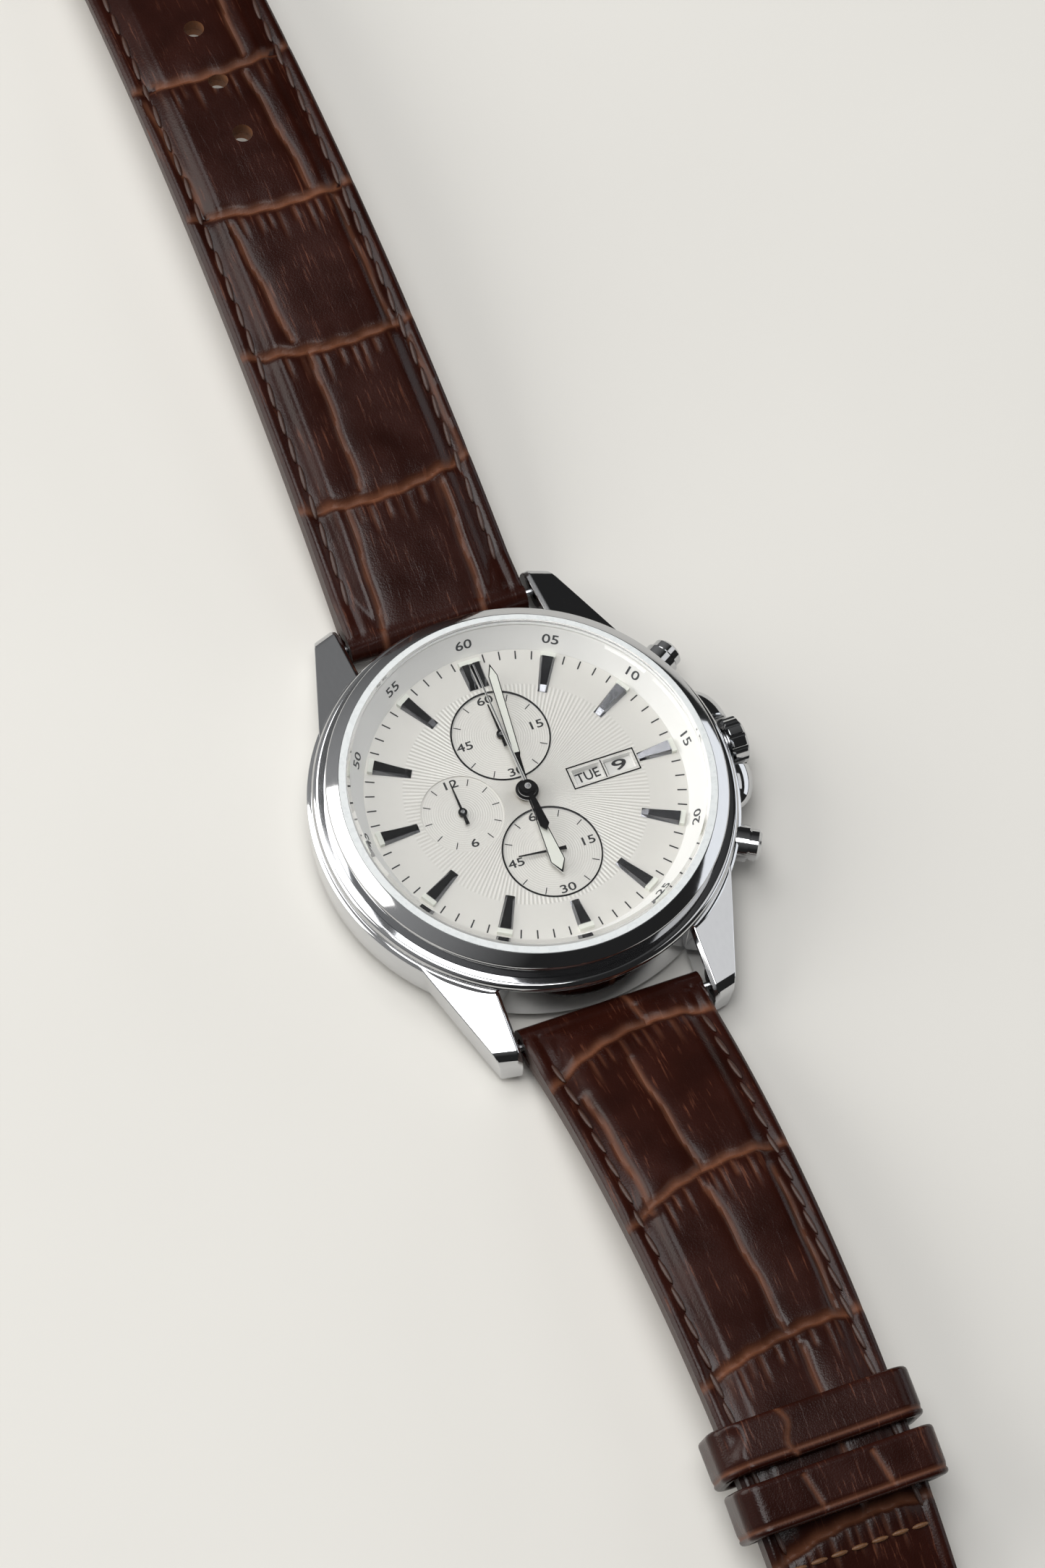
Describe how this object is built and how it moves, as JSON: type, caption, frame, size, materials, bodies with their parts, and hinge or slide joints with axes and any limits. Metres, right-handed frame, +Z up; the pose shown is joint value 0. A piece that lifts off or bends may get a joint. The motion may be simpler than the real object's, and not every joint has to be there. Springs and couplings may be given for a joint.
{
  "type": "chronograph wristwatch",
  "caption": "Round steel chronograph wristwatch with sub-dials, day and date windows, a crown between two pushers, and a padded embossed leather strap with a pin buckle, lying open.",
  "frame": {"origin": "centre of the case back's flat outer face, on the table", "axes": "+X towards the crown, +Y towards twelve o'clock along the long strap piece, +Z up through the dial"},
  "size_m": [0.0456, 0.245, 0.013],
  "materials": {
    "steel_polished": "polished steel",
    "steel_brushed": "fine brushed steel",
    "steel_plain": "plain steel",
    "crystal_glass": "clear glass",
    "clear_gasket": "translucent seal",
    "rubber": "black rubber",
    "dial_white": "silvery white print on metal",
    "dark_metal": "dark polished metal",
    "black": "black lacquer",
    "lume": "luminous paint",
    "discs": "white printed",
    "brass": "plated brass",
    "board": "lacquered board",
    "copper": "copper wire",
    "leather": "embossed, padded, dark brown",
    "lining": "smooth brown lining"
  },
  "bodies": {
    "case": {"case_middle": "steel_polished", "bezel": "steel_polished", "crystal": "crystal_glass", "crystal_gasket": "clear_gasket", "flange_ring": "dial_white", "case_back": "steel_brushed", "case_back_gasket": "rubber", "crown_tube": "steel_plain", "pusher_collars": "steel_polished", "pusher_seals": "rubber", "spring_bars": "steel_plain", "dial": "dial_white", "subdial_rings": "dark_metal", "hour_markers": "dark_metal", "marker_lume": "lume", "calendar_frame": "black", "movement_holder": "discs", "main_plate": "brass", "train_bridge": "brass", "circuit_board": "board", "motor_coils": "copper", "battery": "steel_plain", "battery_clamp": "steel_plain", "movement_screws": "steel_plain", "start_pusher_spring": "steel_plain", "reset_pusher_spring": "steel_plain"},
    "minute_group": {"minute_hand": "dark_metal", "minute_hand_lume": "lume", "cannon_pinion": "brass"},
    "hour_group": {"hour_hand": "dark_metal", "hour_hand_lume": "lume", "hour_wheel": "brass"},
    "minute_wheel_group": {"minute_wheel": "brass"},
    "chrono_seconds_group": {"chrono_seconds_hand": "dark_metal", "chrono_seconds_arbor": "steel_plain"},
    "chrono_minute_group": {"chrono_minute_hand": "black", "chrono_minute_arbor": "steel_plain"},
    "chrono_hour_group": {"chrono_hour_hand": "black", "chrono_hour_arbor": "steel_plain"},
    "small_seconds_group": {"small_seconds_hand": "black", "small_seconds_arbor": "steel_plain"},
    "date_group": {"date_disc": "discs"},
    "day_group": {"day_disc": "discs"},
    "pinion_group": {"sliding_pinion": "brass"},
    "crown_group": {"stem": "steel_plain", "crown": "steel_polished", "crown_gasket": "rubber"},
    "start_pusher_group": {"start_pusher": "steel_polished"},
    "reset_pusher_group": {"reset_pusher": "steel_polished"},
    "tail_strap_group": {"tail_upper": "leather", "tail_lining": "lining"},
    "buckle_strap_group": {"buckle_strap_upper": "leather", "buckle_strap_lining": "lining", "fixed_keeper": "leather"},
    "free_keeper_group": {"free_keeper": "leather"},
    "buckle_group": {"buckle_frame": "steel_polished", "buckle_bar": "steel_polished"},
    "tongue_group": {"buckle_tongue": "steel_polished"}
  },
  "joints": [
    {"name": "minute_turn", "type": "hinge", "parent": "case", "child": "minute_group", "pos_m": [0, 0, 0.008], "axis": [0, 0, -1], "continuous": true},
    {"name": "hour_turn", "type": "hinge", "parent": "case", "child": "hour_group", "pos_m": [0, 0, 0.008], "axis": [0, 0, -1], "continuous": true},
    {"name": "minute_wheel_turn", "type": "hinge", "parent": "case", "child": "minute_wheel_group", "pos_m": [-0.0017, 0.0017, 0.0067], "axis": [0, 0, -1], "continuous": true},
    {"name": "chrono_seconds_turn", "type": "hinge", "parent": "case", "child": "chrono_seconds_group", "pos_m": [0, 0, 0.009], "axis": [0, 0, -1], "continuous": true},
    {"name": "chrono_minute_turn", "type": "hinge", "parent": "case", "child": "chrono_minute_group", "pos_m": [0, 0.00685, 0.008], "axis": [0, 0, -1], "continuous": true},
    {"name": "chrono_hour_turn", "type": "hinge", "parent": "case", "child": "chrono_hour_group", "pos_m": [-0.00685, 0, 0.008], "axis": [0, 0, -1], "continuous": true},
    {"name": "small_seconds_turn", "type": "hinge", "parent": "case", "child": "small_seconds_group", "pos_m": [0, -0.00685, 0.008], "axis": [0, 0, -1], "continuous": true},
    {"name": "date_turn", "type": "hinge", "parent": "case", "child": "date_group", "pos_m": [0, 0, 0.007], "axis": [0, 0, -1], "continuous": true},
    {"name": "day_turn", "type": "hinge", "parent": "case", "child": "day_group", "pos_m": [0.007, -0.0047, 0.0067], "axis": [0, 0, -1], "continuous": true},
    {"name": "crown_turn", "type": "hinge", "parent": "case", "child": "pinion_group", "pos_m": [0.011, 0, 0.005], "axis": [1, 0, 0], "continuous": true},
    {"name": "crown_pull", "type": "slide", "parent": "pinion_group", "child": "crown_group", "axis": [1, 0, 0], "range_m": [0, 0.0008]},
    {"name": "start_push", "type": "slide", "parent": "case", "child": "start_pusher_group", "axis": [-0.8704, -0.4924, 0], "range_m": [0, 0.001], "stiffness_N_per_m": 150, "springref_m": -0.0005, "deforming": ["start_pusher_spring"]},
    {"name": "reset_push", "type": "slide", "parent": "case", "child": "reset_pusher_group", "axis": [-0.8704, 0.4924, 0], "range_m": [0, 0.001], "stiffness_N_per_m": 150, "springref_m": -0.0005, "deforming": ["reset_pusher_spring"]},
    {"name": "tail_strap_swing", "type": "hinge", "parent": "case", "child": "tail_strap_group", "pos_m": [0, 0.0235, 0.0032], "axis": [1, 0, 0], "range_deg": [-75, 45]},
    {"name": "buckle_strap_swing", "type": "hinge", "parent": "case", "child": "buckle_strap_group", "pos_m": [0, -0.0235, 0.0032], "axis": [-1, 0, 0], "range_deg": [-75, 45]},
    {"name": "free_keeper_slide", "type": "hinge", "parent": "buckle_strap_group", "child": "free_keeper_group", "pos_m": [0, -0.05678, -0.06872], "axis": [-1, 0, 0], "range_deg": [0, 6.4]},
    {"name": "buckle_swing", "type": "hinge", "parent": "buckle_strap_group", "child": "buckle_group", "pos_m": [0, -0.0935, 0.0017], "axis": [-1, 0, 0], "range_deg": [-60, 30]},
    {"name": "tongue_swing", "type": "hinge", "parent": "buckle_group", "child": "tongue_group", "pos_m": [0, -0.0935, 0.0017], "axis": [-1, 0, 0], "range_deg": [0, 80]}
  ],
  "couplings": [
    {"joint": "hour_turn", "follows": "minute_turn", "ratio": 0.083333},
    {"joint": "minute_wheel_turn", "follows": "minute_turn", "ratio": -0.33333},
    {"joint": "chrono_minute_turn", "follows": "chrono_seconds_turn", "ratio": 0.016667},
    {"joint": "chrono_hour_turn", "follows": "chrono_seconds_turn", "ratio": 0.0013889}
  ]
}
